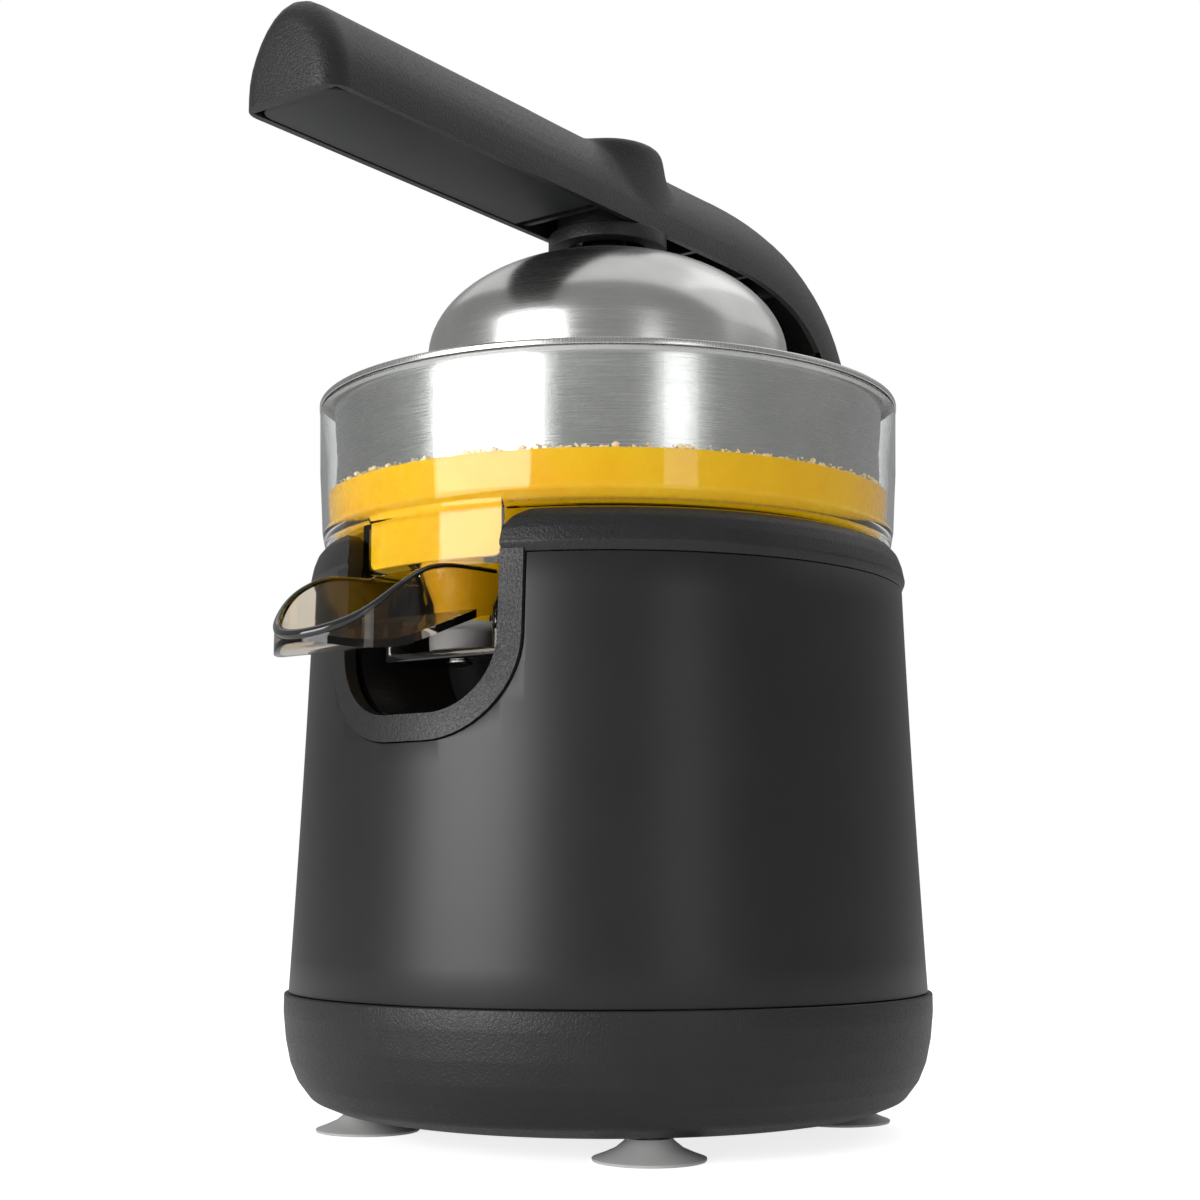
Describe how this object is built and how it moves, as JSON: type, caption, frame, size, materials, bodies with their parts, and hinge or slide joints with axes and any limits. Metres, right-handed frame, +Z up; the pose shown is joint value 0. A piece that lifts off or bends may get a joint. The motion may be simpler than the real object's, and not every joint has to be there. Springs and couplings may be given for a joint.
{
  "type": "citrus press juicer",
  "caption": "Free-standing electric citrus press: a hinged arm lowers a steel cup over a spinning reamer, and juice drains from a clear bowl through a tilting drip-stop spout.",
  "frame": {"origin": "On the worktop, under the spindle, which is also the middle of the whole outline seen from above", "axes": "+Z up along the spindle; -Y towards the spout and the arm's grip; +Y towards the arm's hinge; +X to the right seen from the front"},
  "size_m": [0.1896, 0.28, 0.299],
  "materials": {
    "textured_black": "fine leather grain, satin",
    "shell_paint": "smooth matte charcoal paint",
    "inner_black": "plain moulded",
    "plate_black": "very fine matte grain",
    "brushed_steel": "brushed round the axis",
    "clear_plastic": "polished clear",
    "smoked_plastic": "polished smoke grey",
    "grey_silicone": "smooth soft",
    "nylon": "natural nylon",
    "steel_parts": "plain zinc-plated",
    "brass_parts": "plain turned",
    "board_green": "solder mask"
  },
  "bodies": {
    "base": {"base_pan": "textured_black", "base_screw_1": "steel_parts", "base_screw_2": "steel_parts", "base_screw_3": "steel_parts", "base_screw_4": "steel_parts", "foot_1": "grey_silicone", "foot_2": "grey_silicone", "foot_3": "grey_silicone", "foot_4": "grey_silicone", "cord_grommet": "inner_black", "outer_shell": "shell_paint", "collar": "textured_black", "recess_liner": "inner_black", "rear_column": "textured_black", "column_screw_1": "steel_parts", "column_screw_2": "steel_parts", "arm_stop_pad": "grey_silicone", "arm_hinge_pin": "steel_parts", "chassis": "inner_black", "motor_can": "steel_parts", "motor_end_bell": "inner_black", "motor_screw_1": "steel_parts", "motor_screw_2": "steel_parts", "idler_pin": "steel_parts", "gearbox_cover": "inner_black", "gearbox_screw_1": "steel_parts", "gearbox_screw_2": "steel_parts", "lower_bush": "brass_parts", "upper_bush": "brass_parts", "shaft_seal": "inner_black", "microswitch": "inner_black", "circuit_board": "board_green", "spindle_spring": "steel_parts"},
    "rotor": {"rotor_shaft": "steel_parts", "rotor_core": "brass_parts", "cooling_fan": "nylon", "motor_pinion": "brass_parts"},
    "idler": {"idler_gear": "nylon"},
    "drive_gear": {"output_gear": "nylon"},
    "plunger_slide": {"plunger": "nylon"},
    "spindle_turning": {"spindle": "brushed_steel"},
    "reamer_on_spindle": {"reamer": "inner_black"},
    "switch_plunger": {"switch_button": "nylon"},
    "bowl": {"juice_bowl": "clear_plastic", "filter_basket": "brushed_steel"},
    "spout_assembly": {"spout": "smoked_plastic", "spout_pin_left": "steel_parts", "spout_pin_right": "steel_parts", "outlet_seal": "grey_silicone", "seal_screw": "brushed_steel"},
    "arm": {"arm_shell": "textured_black", "arm_cover_plate": "plate_black", "hinge_bush_left": "nylon", "hinge_bush_right": "nylon", "hinge_cap_left": "inner_black", "hinge_cap_right": "inner_black", "cup_pivot_pin": "steel_parts"},
    "cup": {"cup_neck": "inner_black", "press_cup": "brushed_steel", "cup_screw": "brushed_steel"}
  },
  "joints": [
    {"name": "arm_lift", "type": "hinge", "parent": "base", "child": "arm", "pos_m": [0, 0.12, 0.19], "axis": [-1, 0, 0], "range_deg": [0, 70]},
    {"name": "cup_swivel", "type": "hinge", "parent": "arm", "child": "cup", "pos_m": [0, 0, 0.272], "axis": [1, 0, 0], "range_deg": [-8, 8]},
    {"name": "spout_tilt", "type": "hinge", "parent": "base", "child": "spout_assembly", "pos_m": [0, -0.048, 0.147], "axis": [1, 0, 0], "range_deg": [0, 12]},
    {"name": "bowl_lift", "type": "slide", "parent": "base", "child": "bowl", "axis": [0, 0, 1], "range_m": [0, 0.01]},
    {"name": "spindle_press", "type": "slide", "parent": "base", "child": "plunger_slide", "axis": [0, 0, -1], "range_m": [0, 0.0025], "stiffness_N_per_m": 800, "springref_m": -0.004, "deforming": ["spindle_spring"]},
    {"name": "switch_press", "type": "slide", "parent": "base", "child": "switch_plunger", "axis": [0, 0, -1], "range_m": [0, 0.0025]},
    {"name": "rotor_spin", "type": "hinge", "parent": "base", "child": "rotor", "pos_m": [0, 0.03239, 0.07], "axis": [0, 0, 1], "continuous": true},
    {"name": "idler_spin", "type": "hinge", "parent": "base", "child": "idler", "pos_m": [0.0264, 0.0198, 0.11], "axis": [0, 0, 1], "continuous": true},
    {"name": "drive_gear_spin", "type": "hinge", "parent": "base", "child": "drive_gear", "pos_m": [0, 0, 0.114], "axis": [0, 0, 1], "continuous": true},
    {"name": "spindle_spin", "type": "hinge", "parent": "plunger_slide", "child": "spindle_turning", "pos_m": [0, 0, 0.15], "axis": [0, 0, 1], "continuous": true},
    {"name": "reamer_lift", "type": "slide", "parent": "spindle_turning", "child": "reamer_on_spindle", "axis": [0, 0, 1], "range_m": [0, 0.01]}
  ],
  "couplings": [
    {"joint": "switch_press", "follows": "spindle_press", "ratio": 1},
    {"joint": "idler_spin", "follows": "rotor_spin", "ratio": -0.3},
    {"joint": "drive_gear_spin", "follows": "rotor_spin", "ratio": 0.088235},
    {"joint": "spindle_spin", "follows": "rotor_spin", "ratio": 0.088235},
    {"joint": "reamer_lift", "follows": "bowl_lift", "ratio": 1}
  ]
}
